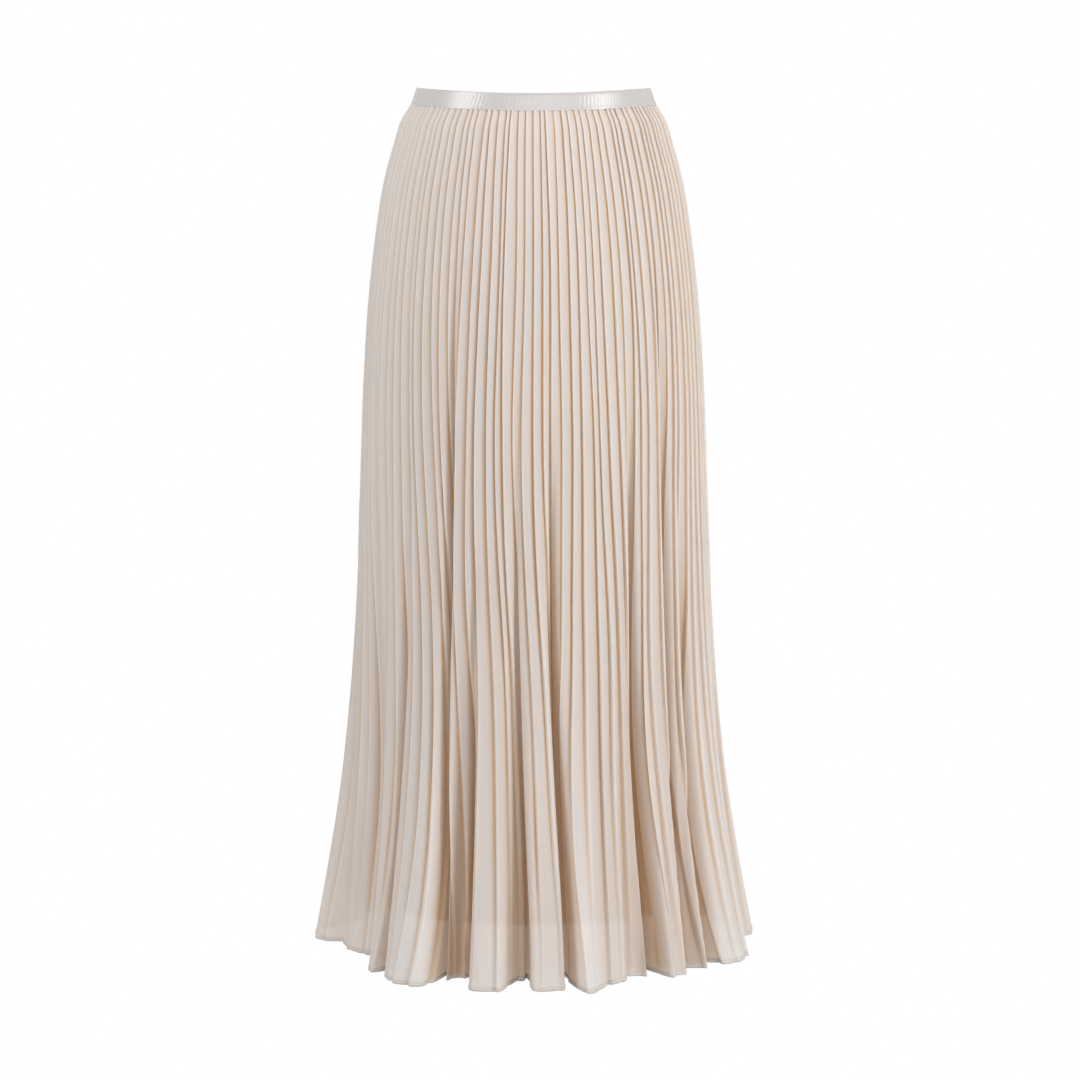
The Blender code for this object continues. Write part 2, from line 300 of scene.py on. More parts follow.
def stretchNode(tree, vector, scale):
    # vector * scale, axis by axis
    node = addNode(tree, "ShaderNodeMapping", Scale=scale)
    tree.links.new(vector, node.inputs["Vector"])
    return node.outputs[0]


def mixColours(tree, share, first, second):
    # first * (1 - share) + second * share
    node = addNode(tree, "ShaderNodeMix", data_type="RGBA")
    for slot, value in ((0, share), (6, first), (7, second)):
        feed(tree, node.inputs[slot], value)
    return node.outputs[2]


def mixShaders(tree, share, first, second):
    # first * (1 - share) + second * share
    node = tree.nodes.new("ShaderNodeMixShader")
    for slot, value in enumerate((share, first, second)):
        feed(tree, node.inputs[slot], value)
    return node.outputs[0]


def setColour(tree, shader, colour, tone):
    # base colour = colour * tone
    node = addNode(tree, "ShaderNodeVectorMath", operation="SCALE")
    feed(tree, node.inputs[0], colour)
    feed(tree, node.inputs["Scale"], tone)
    tree.links.new(node.outputs[0], shader.inputs["Base Color"])


def setBump(tree, shader, height, strength, distance):
    # the normal leans as it would on a surface raised by height * distance
    node = addNode(tree, "ShaderNodeBump", Strength=strength, Distance=distance)
    tree.links.new(height, node.inputs["Height"])
    tree.links.new(node.outputs[0], shader.inputs["Normal"])


def newGroup(name, inputs, outputs):
    # inputs are rows of name, kind and value, and outputs are rows of name and kind
    group = bpy.data.node_groups.new(name, "ShaderNodeTree")
    for label, kind, value in inputs:
        group.interface.new_socket(name=label, in_out="INPUT", socket_type=kind).default_value = value
    for label, kind in outputs:
        group.interface.new_socket(name=label, in_out="OUTPUT", socket_type=kind)
    return group, group.nodes.new("NodeGroupInput"), group.nodes.new("NodeGroupOutput")


weaveLook = dict(
    threadSpacing=0.0006,    # metres of cloth from one thread to the next
    threadShare=0.25,        # height of the threads beside the crepe's grain
    crepe=0.5,
    crepeScale=1400.0,
    crepeDetail=2.0,
    slubStretch=(260.0, 9.0, 1.0),   # slubs to a metre across the cloth and down it
    slubDetail=3.0,
)


def makeWeaveGroup(look):
    # plain weave: the higher of cos(warp) and cos(weft), broken up by crepe noise
    group, source, sink = newGroup(
        "clothWeave",
        [("Thread Spacing", "NodeSocketFloat", look["threadSpacing"]),
         ("Crepe", "NodeSocketFloat", look["crepe"])],
        [("Height", "NodeSocketFloat"), ("Slub", "NodeSocketFloat")])
    uv = addNode(group, "ShaderNodeUVMap", uv_map="clothMetres").outputs[0]
    parts = group.nodes.new("ShaderNodeSeparateXYZ")
    group.links.new(uv, parts.inputs[0])
    threads = []
    for axis in ("X", "Y"):
        turns = mathNode(group, "DIVIDE", parts.outputs[axis], source.outputs["Thread Spacing"])
        threads.append(mathNode(group, "COSINE", mathNode(group, "MULTIPLY", turns, 2 * math.pi)))
    woven = mathNode(group, "MAXIMUM", *threads)
    crepe = mathNode(group, "SUBTRACT", noiseNode(group, uv, look["crepeScale"], look["crepeDetail"]), 0.5)
    grain = mathNode(group, "MULTIPLY", crepe, source.outputs["Crepe"])
    height = mathNode(group, "MULTIPLY_ADD", woven, look["threadShare"], grain)
    group.links.new(height, sink.inputs["Height"])
    slub = noiseNode(group, stretchNode(group, uv, look["slubStretch"]), 1.0, look["slubDetail"])
    group.links.new(slub, sink.inputs["Slub"])
    return group


weaveGroup = makeWeaveGroup(weaveLook)


def weaveNode(tree, spacing):
    # the shared weave with a material's own thread spacing
    node = addNode(tree, "ShaderNodeGroup", node_tree=weaveGroup)
    node.inputs["Thread Spacing"].default_value = spacing
    return node


chiffonLook = dict(
    colour=(0.668, 0.658, 0.648),         # linear, the lit cloth
    valleyShadeColour=(0.650, 0.374, 0.143),   # painted shade deep in a pleat, tan as if lit only by light bounced off the cloth round it
    foldShadeColour=(0.560, 0.330, 0.150),     # painted shade deep in a large fold
    throughColour=(0.860, 0.790, 0.725),  # of the light that comes through the cloth
    throughShadeColour=(0.700, 0.495, 0.300),   # painted shade in the light that comes through, where the pleat and fold shade lie
    valleyTint=0.90,         # share of the painted valley shade where a pleat is deepest
    valleyPower=1.45,        # more keeps that painted shade to the deepest part
    foldTint=0.70,           # share of the painted fold shade where a fold is deepest
    crestHighlight=0.24,          # painted highlight: the pressed crests are drawn lighter
    slubTone=(0.10, 0.93),   # tone = first * noise + second
    cloudTone=(0.06, 0.98),
    cloudScale=7.0,
    cloudDetail=2.0,
    roughness=0.62,
    specular=0.3,
    sheen=0.20,
    sheenRoughness=0.4,
    translucent=0.42,        # share of the cloth that passes light on, spread out
    sheer=0.06,              # share that can be seen straight through
    threadSpacing=0.0007,
    bump=0.25,
    bumpDistance=0.0002,
)


def makeChiffon(name, look):
    # colour: the lit cloth's, mixed to the painted valley shade by valleyTint * depth^power, then to the
    # painted fold shade, and the tone has a painted crest highlight
    # surface: cloth mixed with light that comes through it, then with what is seen through it
    material, tree, shader = newMaterial(
        name, look["roughness"], Sheen_Weight=look["sheen"], Sheen_Roughness=look["sheenRoughness"],
        Specular_IOR_Level=look["specular"])
    weave = weaveNode(tree, look["threadSpacing"])
    # masks of painted shade in the pleats and folds, and of a painted highlight on the crests
    depth, foldShadeMask, crest = [addNode(tree, "ShaderNodeAttribute", attribute_name=mask).outputs["Fac"]
                          for mask in ("paintedShadeMask", "foldAndHemShade", "crestHighlightMask")]
    place = tree.nodes.new("ShaderNodeTexCoord").outputs["Object"]
    cloudy = noiseNode(tree, place, look["cloudScale"], look["cloudDetail"])
    tone = mathNode(tree, "MULTIPLY_ADD", weave.outputs["Slub"], *look["slubTone"])
    tone = mathNode(tree, "MULTIPLY", tone, mathNode(tree, "MULTIPLY_ADD", cloudy, *look["cloudTone"]))
    # painted highlight: the tone is lifted along the pressed crests
    tone = mathNode(tree, "MULTIPLY_ADD", crest, look["crestHighlight"], tone)
    # painted shade: share of the valley shade colour, from the pleat shade mask
    pleatShadeShare = mathNode(tree, "POWER", depth, look["valleyPower"])
    pleatShadeShare = mathNode(tree, "MULTIPLY", pleatShadeShare, look["valleyTint"])
    # painted shade: share of the fold shade colour
    folded = mathNode(tree, "MULTIPLY", foldShadeMask, look["foldTint"])
    colour = mixColours(tree, pleatShadeShare, look["colour"], look["valleyShadeColour"])
    setColour(tree, shader, mixColours(tree, folded, colour, look["foldShadeColour"]), tone)
    setBump(tree, shader, weave.outputs["Height"], look["bump"], look["bumpDistance"])
    # the painted shade also darkens the light that comes through the cloth
    deep = mathNode(tree, "MINIMUM", mathNode(tree, "ADD", pleatShadeShare, folded), 1.0)
    through = tree.nodes.new("ShaderNodeBsdfTranslucent")
    feed(tree, through.inputs["Color"], mixColours(tree, deep, look["throughColour"], look["throughShadeColour"]))
    clear = tree.nodes.new("ShaderNodeBsdfTransparent")
    surface = mixShaders(tree, look["translucent"], shader.outputs[0], through.outputs[0])
    surface = mixShaders(tree, look["sheer"], surface, clear.outputs[0])
    tree.links.new(surface, tree.nodes["Material Output"].inputs["Surface"])
    return material


chiffon = makeChiffon("pleatedChiffon", chiffonLook)
hemChiffon = makeChiffon("rolledHemChiffon", dict(
    chiffonLook,
    colour=(0.640, 0.610, 0.580),
    valleyShadeColour=(0.44, 0.27, 0.15),
    translucent=0.34,
    sheer=0.03,
))
liningCloth = makeChiffon("liningCloth", dict(
    chiffonLook,
    colour=(0.640, 0.560, 0.490),
    roughness=0.45,
    sheen=0.1,
    translucent=0.25,
    sheer=0.04,
    bump=0.1,
))

threadLook = dict(
    colour=(0.46, 0.36, 0.28),
    tone=(0.30, 0.85),       # tone = first * noise + second
    noiseScale=1500.0,
    noiseDetail=2.0,
    roughness=0.5,
    sheen=0.2,
)


def makeThread(look):
    # colour * tone, and the tone changes over the twist of the thread
    material, tree, shader = newMaterial("sewingThread", look["roughness"], Sheen_Weight=look["sheen"])
    place = tree.nodes.new("ShaderNodeTexCoord").outputs["Object"]
    twist = noiseNode(tree, place, look["noiseScale"], look["noiseDetail"])
    setColour(tree, shader, look["colour"], mathNode(tree, "MULTIPLY_ADD", twist, *look["tone"]))
    return material


sewingThread = makeThread(threadLook)
print("cloth and thread materials made")

# the pleated panels
pleats = dict(
    perPanel=52,
    seeds=dict(Front=11, Back=37),
    topDrop=0.0175,          # tucked a little way up under the band
    bandHeight=0.019,
    flatLength=0.935,        # of the cloth as cut
    rows=132,                # of the grid, from waist to hem
    topCloth=0.0112,         # cloth in one pleat at the waist ...
    hemCloth=0.0315,         # ... and at the hem
    # how deep the pleats stand (0.5 is all that their cloth allows), by drop
    depthFactor=np.array([
        (0.0, 0.36), (0.12, 0.25), (0.30, 0.22), (0.60, 0.24), (0.80, 0.21), (0.942, 0.13)]),
    leastDepth=0.16,         # the least depth of a pleat, as a share of its cloth
    pressedDepth=0.70,       # share of its depth that a pleat has under the band ...
    pressedLength=0.030,     # ... and it has all of it this far below
    clothEven=0.40,          # 1 spaces the pleats evenly along the folded cloth, 0 round the figure
    curveSteps=3200,         # of the curve that a row's pleats follow
    seamOverrun=14.0,        # degrees by which the curve runs on past the seams
    leanWindow=26,           # half the averaging window of the cloth's heading, in curve steps
    bendLimit=0.55,          # how far a pleat may fill the inside of a sharp bend ...
    bendPower=4,             # ... and how suddenly that limit comes
    # slow drift of the creases round the panel: pleat widths, radians from pleat to pleat, start
    wanders=((0.13, 2.4, 0.0), (0.10, 5.1, 1.0)),
    # columns of one pleat: shares of its short return, then of its long face
    returnColumns=(0.0, 0.3, 0.7),
    faceColumns=(0.0, 0.05, 0.13, 0.28, 0.46, 0.62, 0.76, 0.87, 0.95),
    highlightOnReturn=(0.0, 0.0, 0.3),        # how much painted highlight each column gets along the pressed edge
    highlightOnFace=(1.0, 0.8, 0.20, 0.0, 0.0, 0.0, 0.0, 0.0, 0.0),
    returnShare=(0.06, 0.16),            # width of the return, at the waist and at the hem
    faceBend=(2.9, 2.3),                 # power of the face's fall, at the waist and at the hem
    # random lines down the creases: knots from waist to hem, and the largest value of any
    knots=dict(wander=6, depth=5, calm=4, crest=4, proud=4),
    noiseLimit=1.8,
    creaseWander=0.09,       # in pleat widths
    depthChange=0.20,        # of a pleat's depth
    crestChange=0.25,        # of the return's width
    proudness=0.10,          # how far some crests stand out, in pleat depths
    hemCalm=0.48,            # how far some creases die out towards the hem ...
    calmPower=3,
    leastCalm=0.28,          # ... and the least that is left of one
    hemLift=0.0012,          # how far the hem rises or falls from crease to crease
    liftLimit=1.5,
    liftPower=4,
    # the shades
    fullPleat=0.22,          # a depth factor that shows the full shade in the pleats
    shadePower=1.1,
    hemFineness=2.0,         # how much finer the creases' shade is drawn at the hem
    finePower=6,
    deepFold=0.022,          # a narrow fold this deep shows its full shade
    wideFold=1.8,            # wider folds than this (degrees) show less
    widePower=1.5,
    lowShade=0.14,           # painted shade that deepens the colour towards the hem
    lowPower=2,
)


def pleatNoise(seed, drops, knots):
    # one smooth random line down each crease: values at the knots, joined by smooth steps
    random = np.random.default_rng(seed)
    limit = pleats["noiseLimit"]
    values = random.normal(size=(knots, pleats["perPanel"] + 1)).clip(-limit, limit)
    at = drops / figure["drop"] * (knots - 1)
    low = np.clip(at.astype(int), 0, knots - 2)
    t = smoothStep((at - low)[:, None])
    return values[low] * (1 - t) + values[low + 1] * t


def pleatedRow(angleRange, drop, stops, profile, depthScale):
    # a point is curve + outward * half depth * profile, where depth = factor * sqrt(cloth^2 - width^2)
    # returns the row's points (x, y), their angles and the cloth in one pleat
    p = pleats
    cloth = p["topCloth"] + (p["hemCloth"] - p["topCloth"]) * drop / figure["drop"]
    factor = np.interp(drop, *p["depthFactor"].T)
    free = (1 - p["pressedDepth"]) * (drop - p["bandHeight"]) / p["pressedLength"]
    pressed = np.clip(p["pressedDepth"] + free, p["pressedDepth"], 1.0)
    seams = np.radians(angleRange)
    beyond = math.radians(p["seamOverrun"])
    angles = np.linspace(seams[0] - beyond, seams[1] + beyond, p["curveSteps"] + 1)
    plain = np.linalg.norm(np.diff(foldedCurve(angles, drop, 0.0), axis=0), axis=1)
    within = (angles[:-1] >= seams[0]) & (angles[:-1] < seams[1])
    meanWidth = plain[within].sum() / p["perPanel"]
    meanDepth = factor * math.sqrt(cloth ** 2 - meanWidth ** 2) * pressed
    curve = foldedCurve(angles, drop, 0.5 * meanDepth)
    steps = np.linalg.norm(np.diff(curve, axis=0), axis=1)
    length = np.concatenate([[0.0], np.cumsum(steps)])
    # where each pleat stands along the curve
    spread = p["clothEven"] * steps + (1 - p["clothEven"]) * plainSteps(angles, drop)
    spread = spread * crowding(0.5 * (angles[:-1] + angles[1:]), drop)
    share = np.concatenate([[0.0], np.cumsum(spread)])
    first, last = np.interp(seams, angles, share)
    share = (share - first) / (last - first)
    # the cloth's heading, averaged over a window, gives the way out
    even = np.linspace(0.0, length[-1], p["curveSteps"] + 1)
    resampled = np.stack([np.interp(even, length, curve[:, axis]) for axis in (0, 1)], axis=1)
    slope = np.gradient(resampled, axis=0)
    heading = np.unwrap(np.arctan2(slope[:, 1], slope[:, 0]))
    window = np.hanning(2 * p["leanWindow"] + 3)[1:-1]
    heading = np.convolve(np.pad(heading, p["leanWindow"], mode="edge"), window / window.sum(), mode="valid")
    bend = np.abs(np.gradient(heading, even))
    at = np.interp(stops, share, length)
    where = np.stack([np.interp(at, even, resampled[:, axis]) for axis in (0, 1)], axis=1)
    faces = np.interp(at, even, heading)
    outward = np.stack([np.sin(faces), -np.cos(faces)], axis=1)
    # wider pleats are shallower, and so are those inside a sharp bend
    valleys = at[::len(p["returnColumns"]) + len(p["faceColumns"])]
    widths = np.diff(valleys)
    width = np.interp(at, valleys[:-1] + 0.5 * widths, widths)
    depth = factor * np.sqrt(np.maximum(cloth ** 2 - width ** 2, 0.0))
    depth = np.maximum(depth, p["leastDepth"] * cloth) * pressed * depthScale
    strain = 0.5 * depth * np.interp(at, even, bend) / p["bendLimit"]
    offset = 0.5 * depth / (1 + strain ** p["bendPower"]) ** (1 / p["bendPower"])
    return where + outward * (offset * profile)[:, None], np.interp(at, length, angles), cloth


def pleatedPanel(name, seed):
    # each pleat: a short return from its valley (-1) up to its crest (+1), then a long face that
    # falls as 1 - 2 * share ^ bend, flat near the crest and turning in at the next valley
    p = pleats
    knots = p["knots"]
    drops = np.linspace(p["topDrop"], figure["drop"], p["rows"])
    reach = drops / figure["drop"]
    count = np.arange(p["perPanel"] + 1)
    inner = np.ones(p["perPanel"] + 1)       # the creases at the two seams stay in place
    inner[[0, -1]] = 0.0
    base = count + inner * sum(a * np.sin(b * count + c) for a, b, c in p["wanders"])
    wander = pleatNoise(seed, drops, knots["wander"]) * p["creaseWander"] * inner
    deeper = 1 + pleatNoise(seed + 1, drops, knots["depth"]) * p["depthChange"] * inner
    dying = np.abs(pleatNoise(seed + 2, drops, knots["calm"])) * p["hemCalm"]
    calm = np.maximum(1 - dying * (reach ** p["calmPower"])[:, None], p["leastCalm"])
    change = 1 + p["crestChange"] * pleatNoise(seed + 3, drops, knots["crest"])[:, :-1]
    proud = pleatNoise(seed + 5, drops, knots["proud"])[:, :-1] * p["proudness"]
    lift = np.random.default_rng(seed + 4).normal(size=p["perPanel"] + 1)
    lift = lift.clip(-p["liftLimit"], p["liftLimit"]) * p["hemLift"] * inner
    rising, falling = np.array(p["returnColumns"]), np.array(p["faceColumns"])
    crestHighlights = np.array(p["highlightOnReturn"] + p["highlightOnFace"])
    narrowness = np.clip(p["wideFold"] / folds["table"][:, 4], 0, 1) ** p["widePower"]
    points, uvs, pleatShadeMasks, foldShadeMasks, edges = [], [], [], [], []
    for row, drop in enumerate(drops):
        valleys = base + wander[row]
        crest = np.interp(reach[row], (0, 1), p["returnShare"]) * change[row][:, None]
        bend = np.interp(reach[row], (0, 1), p["faceBend"])
        shares = np.hstack([crest * rising, crest + (1 - crest) * falling])
        tops = 1 + proud[row][:, None]
        profile = np.hstack([-1 + (tops + 1) * rising, tops - (tops + 1) * falling ** bend])
        profile = np.append(profile.ravel(), -1.0)
        everywhere = np.append((valleys[:-1, None] + np.diff(valleys)[:, None] * shares).ravel(), valleys[-1])
        scale = np.interp(everywhere, valleys, deeper[row] * calm[row])
        line, angles, cloth = pleatedRow(panelAngles[name], drop, everywhere / p["perPanel"], profile, scale)
        level = levelOf(angles, drop) + np.interp(everywhere, valleys, lift) * reach[row] ** p["liftPower"]
        points.append(np.column_stack([line, level]))
        along = (everywhere - 0.5 * p["perPanel"]) * cloth
        uvs.append(np.column_stack([along, np.full_like(along, -drop)]))
        shown = min(1.0, np.interp(drop, *p["depthFactor"].T) / p["fullPleat"]) ** p["shadePower"]
        shown = shown * np.interp(everywhere, valleys, calm[row])
        fine = 1 + p["hemFineness"] * reach[row] ** p["finePower"]
        # painted shade, deepest in the pleat valleys
        pleatShadeMasks.append(np.clip(0.5 - 0.5 * profile, 0, 1) ** fine * shown)
        # painted highlight along the pressed crests
        edges.append(np.append(np.tile(crestHighlights, p["perPanel"]), 0.0) * shown)
        # painted shade in the folds, and deeper towards the hem
        foldShadeMask = foldPush(angles, drop, narrowness) / p["deepFold"]
        foldShadeMasks.append(np.clip(foldShadeMask + p["lowShade"] * reach[row] ** p["lowPower"], 0, 1))
    points, uvs = np.array(points), np.array(uvs)
    made = meshObject("skirtCloth" + name, points, gridFaces(*points.shape[:2]), chiffon,
                      uvs.reshape(-1, 2), {"paintedShadeMask": pleatShadeMasks, "foldAndHemShade": foldShadeMasks, "crestHighlightMask": edges})
    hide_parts("skirt_" + name.lower())
    return made, points, uvs


# hems and stitches
hemLook = dict(
    height=0.0048,
    thickness=0.0010,
    below=0.0003,            # how far the hem reaches below the cloth's edge
    # round the folded edge: share of the half thickness, share of the height below its top
    section=((0.6, 0.0), (1.0, 0.22), (1.0, 0.78), (0.62, 1.0),
             (-0.62, 1.0), (-1.0, 0.78), (-1.0, 0.22), (-0.6, 0.0)),
    sectionCloth=0.001,      # cloth from one point of the section to the next
    edgeShade=0.9,           # painted shade along the folded lower edge, in the valley shade colour
    stitchBelowTop=0.0011,
    stitchLength=0.0017,
    stitchPitch=0.0024,
    threadRadius=0.00022,
    # rings of one stitch: share of its length, share of the thread's radius
    stitchRings=((0.0, 0.25), (0.25, 1.0), (0.75, 1.0), (1.0, 0.25)),
    # two quads close each end of a stitch of four rings of six
    stitchEnds=((0, 1, 2, 3), (0, 3, 4, 5), (21, 20, 19, 18), (23, 22, 21, 18)),
)


def edgeDirections(points):
    # unit vectors at the cloth's lower edge: up to the row above, and out of the skirt in plan
    up = (points[-2] - points[-1]) / np.linalg.norm(points[-2] - points[-1], axis=1)[:, None]
    run = np.gradient(points[-1][:, :2], axis=0)
    run /= np.linalg.norm(run, axis=1)[:, None]
    return up, np.column_stack([run[:, 1], -run[:, 0], np.zeros(len(run))])


def edgeBand(name, points, uvs, look, material):
    # a flat tube along the cloth's lower edge: each section point is the edge, moved out and up
    up, out = edgeDirections(points)
    rings = []
    for across, down in look["section"]:
        rise = look["height"] * (1 - down) - look["below"]
        rings.append(points[-1] + out * (0.5 * look["thickness"] * across) + up * rise)
    rings = np.array(rings)
    uv = np.array([uvs[-1] - (0, look["sectionCloth"] * k) for k in range(len(rings))])
    faces = gridFaces(len(rings), rings.shape[1], closedRows=True)
    lowest = np.array([down == 1.0 for across, down in look["section"]], float)
    # painted shade along the lowest points of the folded edge
    shade = np.broadcast_to(look["edgeShade"] * lowest[:, None], rings.shape[:2])
    return meshObject(name, rings, faces, material, uv.reshape(-1, 2), {"paintedShadeMask": shade})


def stitchRow(name, path, outward, look, material):
    # six-sided spindles laid end to end along the path, each standing half proud of the cloth:
    # start + along * share + radius * (out * cos(turn) + across * sin(turn))
    steps = np.linalg.norm(np.diff(path, axis=0), axis=1)
    length = np.concatenate([[0.0], np.cumsum(steps)])
    centres = np.arange(0.5 * look["stitchPitch"], length[-1], look["stitchPitch"])
    half = 0.5 * look["stitchLength"]
    start, end, out = [
        np.stack([np.interp(places, length, line[:, k]) for k in range(3)], axis=1)
        for places, line in ((centres - half, path), (centres + half, path), (centres, outward))]
    along = end - start
    across = np.cross(along, out)
    across /= np.linalg.norm(across, axis=1)[:, None]
    out = np.cross(across, along)
    out /= np.linalg.norm(out, axis=1)[:, None]
    sides = 6
    spindle = []
    for share, size in look["stitchRings"]:
        radius = look["threadRadius"] * size
        for turn in np.arange(sides) * 2 * math.pi / sides:
            side = out * radius * math.cos(turn) + across * radius * math.sin(turn)
            spindle.append(start + along * share + side)
    spindle = np.array(spindle).transpose(1, 0, 2)
    faces = gridFaces(len(look["stitchRings"]), sides, closedColumns=True)[:, ::-1]
    faces = np.vstack([faces, look["stitchEnds"]])
    faces = (faces[None] + spindle.shape[1] * np.arange(len(spindle))[:, None, None]).reshape(-1, 4)
    return meshObject(name, spindle, faces, material)


def makePanel(name, seed):
    # the pleated cloth with its rolled hem, and stitches near the hem's top
    cloth, points, uvs = pleatedPanel(name, seed)
    hem = edgeBand("rolledHem" + name, points, uvs, hemLook, hemChiffon)
    up, out = edgeDirections(points)
    rise = hemLook["height"] - hemLook["stitchBelowTop"]
    path = points[-1] + up * rise + out * 0.5 * hemLook["thickness"]
    stitches = stitchRow("hemStitches" + name, path, out, hemLook, sewingThread)
    print("pleated panel", name, points.shape)


for panelName in panelAngles:
    makePanel(panelName, pleats["seeds"][panelName])

# the waistband
band = dict(
    height=0.019,
    thickness=0.0020,
    cornerRadius=0.0006,
    softCorner=(0.35, 0.25),     # a corner's middle point, in corner radii along and across the strip
    faceSteps=8,
    backSteps=4,
    crown=0.00025,               # how far the face stands out at its middle height
    stepsRound=900,
    clothRound=0.78,             # length of its pattern once round
    flatLength=0.70,
    crinklePitch=0.0042,
    crinkleDepth=0.00010,
    crinkleDrift=2.0,            # radians by which the crinkles drift ...
    driftTurns=9,                # ... so many times round
    crinkleLean=6,               # radians from the top edge to the lower edge
    stitchRise=0.0024,           # above the lower edge
    stitchProud=0.0001,
    stitches=dict(hemLook, stitchPitch=0.0030, stitchLength=0.0022, threadRadius=0.00020),
)

satinLook = dict(
    colour=(0.398, 0.375, 0.366),
    tone=(0.14, 0.93),           # tone = first * crinkle + second
    roughness=0.22,
    roughChange=(0.16, -0.08),   # roughness + first * crinkle + second
    specular=0.75,
    anisotropic=0.4,
    sheen=0.05,
    crinkleStretch=(900.0, 210.0, 1.0),
    crinkleDetail=3.0,
    threadSpacing=0.0009,
    weaveShare=0.35,
    bump=0.13,
    bumpDistance=0.0002,
)


def makeSatin(look):
    # fine upright crinkles in colour and roughness, and with the weave in the bump
    material, tree, shader = newMaterial(
        "satinElastic", look["roughness"], Sheen_Weight=look["sheen"],
        Specular_IOR_Level=look["specular"], Anisotropic=look["anisotropic"])
    uv = addNode(tree, "ShaderNodeUVMap", uv_map="clothMetres").outputs[0]
    crinkle = noiseNode(tree, stretchNode(tree, uv, look["crinkleStretch"]), 1.0, look["crinkleDetail"])
    weave = weaveNode(tree, look["threadSpacing"])
    height = mathNode(tree, "MULTIPLY_ADD", weave.outputs["Height"], look["weaveShare"], crinkle)
    setBump(tree, shader, height, look["bump"], look["bumpDistance"])
    setColour(tree, shader, look["colour"], mathNode(tree, "MULTIPLY_ADD", crinkle, *look["tone"]))
    change, least = look["roughChange"]
    rough = mathNode(tree, "MULTIPLY_ADD", crinkle, change, look["roughness"] + least)
    tree.links.new(rough, shader.inputs["Roughness"])
    return material


satin = makeSatin(satinLook)


def bandPoint(angles, drop, inset):
    # (a sin, -b cos) of the figure at this drop, moved in by the inset
    halfWidth, halfDepth = halfSizes(figure["outline"], drop)
    return np.column_stack([(halfWidth - inset) * np.sin(angles), -(halfDepth - inset) * np.cos(angles),
                            levelOf(angles, drop)])


def makeWaistband(b):
    # a rounded strip section carried round the waist: its face is pushed out by the crown and moved
    # by the crinkles, both as the sine of the height
    angles = np.linspace(0, 2 * math.pi, b["stepsRound"], endpoint=False)
    h, t, r = b["height"], b["thickness"], b["cornerRadius"]
    far, near = (r * share for share in b["softCorner"])
    face = r + (h - 2 * r) * np.arange(b["faceSteps"] + 1) / b["faceSteps"]
    back = r + (h - 2 * r) * np.arange(b["backSteps"], -1, -1) / b["backSteps"]
    section = [(far, near)] + [(drop, 0.0) for drop in face] + [(h - far, near), (h, r), (h, t - r)]
    section += [(h - far, t - near)] + [(drop, t) for drop in back]
    section += [(far, t - near), (0.0, t - r), (0.0, r)]
    along = angles / (2 * math.pi) * b["clothRound"]
    wave = 2 * math.pi * along / b["crinklePitch"] + b["crinkleDrift"] * np.sin(b["driftTurns"] * angles)
    loops, uvs = [], []
    for drop, inset in section:
        middle = math.sin(math.pi * np.clip(drop / h, 0, 1))
        crinkle = b["crinkleDepth"] * np.sin(wave + b["crinkleLean"] * drop / h) * middle
        moved = crinkle - b["crown"] * middle if inset < 0.5 * t else 0.0
        loops.append(bandPoint(angles, drop, inset + moved))
        uvs.append(np.column_stack([along, np.full_like(along, -drop - inset)]))
    faces = gridFaces(len(section), b["stepsRound"], closedRows=True, closedColumns=True)
    made = meshObject("waistbandSatin", np.array(loops), faces, satin, np.array(uvs).reshape(-1, 2))
    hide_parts("waistband")
    path = bandPoint(angles, h - b["stitchRise"], -b["stitchProud"])
    out = np.column_stack([np.sin(angles), -np.cos(angles), np.zeros_like(angles)])
    path, out = (np.vstack([line, line[:1]]) for line in (path, out))
    stitches = stitchRow("waistStitches", path, out, b["stitches"], sewingThread)


makeWaistband(band)
print("waistband made")

# the lining
lining = dict(
    topDrop=0.011,
    hemDrop=0.895,
    rows=70,
    columns=240,
    seamDegrees=0.1,             # each panel stops this far from the seam
    inset=0.0004,
    ripple=0.0016,
    rippleGrowth=1.5,
    rippleShare=0.6,             # the second ripple beside the first
    rippleTurns=(11, 23),        # ripples once round
    rippleLean=(2, -5),          # radians down the skirt
    rippleStart=1.3,
    flatWidth=0.505,
    flatLength=0.885,
    flatArea=0.397,
    hem=dict(hemLook, height=0.012, thickness=0.0011),
    # straight drop, half width, half depth
    outline=np.array([
        (0.011, 0.1274, 0.0962),
        (0.020, 0.1284, 0.0964),
        (0.040, 0.1345, 0.0985),
        (0.100, 0.1500, 0.1050),
        (0.200, 0.1630, 0.1120),
        (0.400, 0.1690, 0.1160),
        (0.650, 0.1750, 0.1200),
        (0.895, 0.1880, 0.1300),
    ]),
)


def makeLining(name, g):
    # smooth tube (a sin, -b cos) with slow ripples that grow towards its hem and die at the sides
    first, last = panelAngles[name]
    angles = np.radians(np.linspace(first + g["seamDegrees"], last - g["seamDegrees"], g["columns"]))
    turns, lean = g["rippleTurns"], g["rippleLean"]
    points, uvs = [], []
    for drop in np.linspace(g["topDrop"], g["hemDrop"], g["rows"]):
        halfWidth, halfDepth = halfSizes(g["outline"], drop)
        wave = np.sin(turns[0] * angles + lean[0] * drop)
        wave = wave + g["rippleShare"] * np.sin(turns[1] * angles + g["rippleStart"] + lean[1] * drop)
        ripple = g["ripple"] * (drop / g["hemDrop"]) ** g["rippleGrowth"] * wave * np.cos(angles) ** 2
        points.append(np.column_stack([(halfWidth - g["inset"] + ripple) * np.sin(angles),
                                       -(halfDepth - g["inset"] + ripple) * np.cos(angles),
                                       levelOf(angles, drop)]))
        uvs.append(np.column_stack([angles * (halfWidth + halfDepth) / 2, np.full_like(angles, -drop)]))
    points, uvs = np.array(points), np.array(uvs)
    made = meshObject("liningCloth" + name, points, gridFaces(*points.shape[:2]), liningCloth,
                      uvs.reshape(-1, 2), {"paintedShadeMask": np.zeros(points.shape[:2])})
    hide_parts("lining_" + name.lower())
    hem = edgeBand("liningHem" + name, points, uvs, g["hem"], liningCloth)


for panelName in panelAngles:
    makeLining(panelName, lining)
print("lining made")

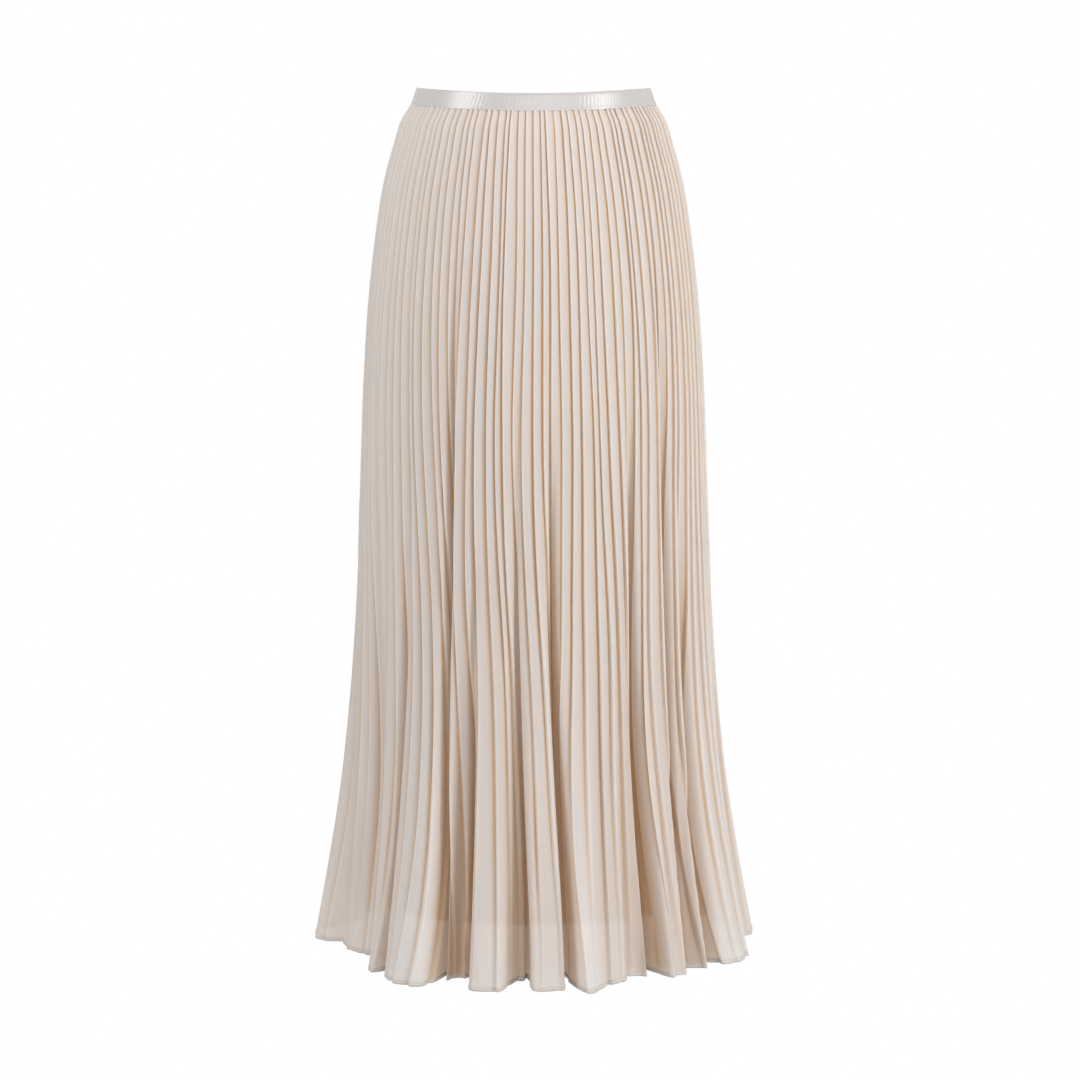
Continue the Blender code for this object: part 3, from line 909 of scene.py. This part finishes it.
# the studio
studio = dict(
    floorLevel=-1.28,
    floorRings=(0.01, 1.0, 3.0, 8.0, 30.0),
    floorSides=64,
    floorShade=0.40,         # the floor shows white, and throws back less than it shows
    floorRoughness=0.8,
    shownStrength=1.0,       # of the floor and the background, as the camera sees them
    worldStrength=0.82,
    aim=(0, 0, -0.45),
    # name, azimuth from the front (degrees), distance, height, width, tall, power, colour
    boxes=(
        ("rightBox", 56.0, 2.1, 0.05, 0.9, 1.9, 36.0, (1.0, 0.99, 0.98)),
        ("leftBox", -58.0, 2.1, 0.55, 0.9, 1.9, 29.0, (0.98, 0.99, 1.0)),
        ("frontFill", 6.0, 3.0, 0.9, 2.4, 1.4, 20.0, (1.0, 1.0, 1.0)),
        ("backFill", 178.0, 3.0, 1.5, 2.4, 1.6, 50.0, (1.0, 1.0, 1.0)),
    ),
)


def cameraSees(tree, unseen, seen):
    # one shader for the camera's own rays, another for all the rest
    ray = tree.nodes.new("ShaderNodeLightPath")
    return mixShaders(tree, ray.outputs["Is Camera Ray"], unseen, seen)


def makeFloor(s):
    # rings (radius * cos, radius * sin, level); from below the floor can be seen through
    turns = np.linspace(0, 2 * math.pi, s["floorSides"], endpoint=False)
    radii = np.array(s["floorRings"])
    disc = np.stack([radii[:, None] * np.cos(turns), radii[:, None] * np.sin(turns),
                     np.full((len(radii), len(turns)), s["floorLevel"])], axis=-1)
    material, tree, shader = newMaterial("paleFloor", s["floorRoughness"])
    shader.inputs["Base Color"].default_value = (s["floorShade"],) * 3 + (1,)
    seen = addNode(tree, "ShaderNodeEmission", Strength=s["shownStrength"])
    side = tree.nodes.new("ShaderNodeNewGeometry")
    clear = tree.nodes.new("ShaderNodeBsdfTransparent")
    surface = cameraSees(tree, shader.outputs[0], seen.outputs[0])
    surface = mixShaders(tree, side.outputs["Backfacing"], surface, clear.outputs[0])
    tree.links.new(surface, tree.nodes["Material Output"].inputs["Surface"])
    mesh = bpy.data.meshes.new("paleFloor")
    faces = gridFaces(len(radii), len(turns), closedColumns=True)
    mesh.from_pydata(disc.reshape(-1, 3).tolist(), [], faces.tolist())
    mesh.materials.append(material)
    floor = bpy.data.objects.new("paleFloor", mesh)
    bpy.context.scene.collection.objects.link(floor)


def makeWorld(s):
    # the camera sees plain white, and the skirt is lit by a softer white all round
    world = bpy.data.worlds.new("paleStudio")
    world.use_nodes = True
    bpy.context.scene.world = world
    tree = world.node_tree
    soft = tree.nodes["Background"]
    soft.inputs["Color"].default_value = (1, 1, 1, 1)
    soft.inputs["Strength"].default_value = s["worldStrength"]
    bright = addNode(tree, "ShaderNodeBackground", Color=(1, 1, 1, 1), Strength=s["shownStrength"])
    surface = cameraSees(tree, soft.outputs[0], bright.outputs[0])
    tree.links.new(surface, tree.nodes["World Output"].inputs["Surface"])


def makeLights(s):
    # soft boxes at (distance * sin, -distance * cos, height), all turned to the aim
    for name, azimuth, distance, high, wide, tall, power, colour in s["boxes"]:
        data = bpy.data.lights.new(name, "AREA")
        data.shape = "RECTANGLE"
        data.size = wide
        data.size_y = tall
        data.energy = power
        data.color = colour
        light = bpy.data.objects.new(name, data)
        a = math.radians(azimuth)
        light.location = (distance * math.sin(a), -distance * math.cos(a), high)
        light.rotation_euler = (Vector(s["aim"]) - light.location).to_track_quat("-Z", "Y").to_euler()
        light.visible_camera = False
        bpy.context.scene.collection.objects.link(light)


makeFloor(studio)
makeWorld(studio)
makeLights(studio)
bpy.context.scene.view_settings.view_transform = "Standard"
print("studio made")
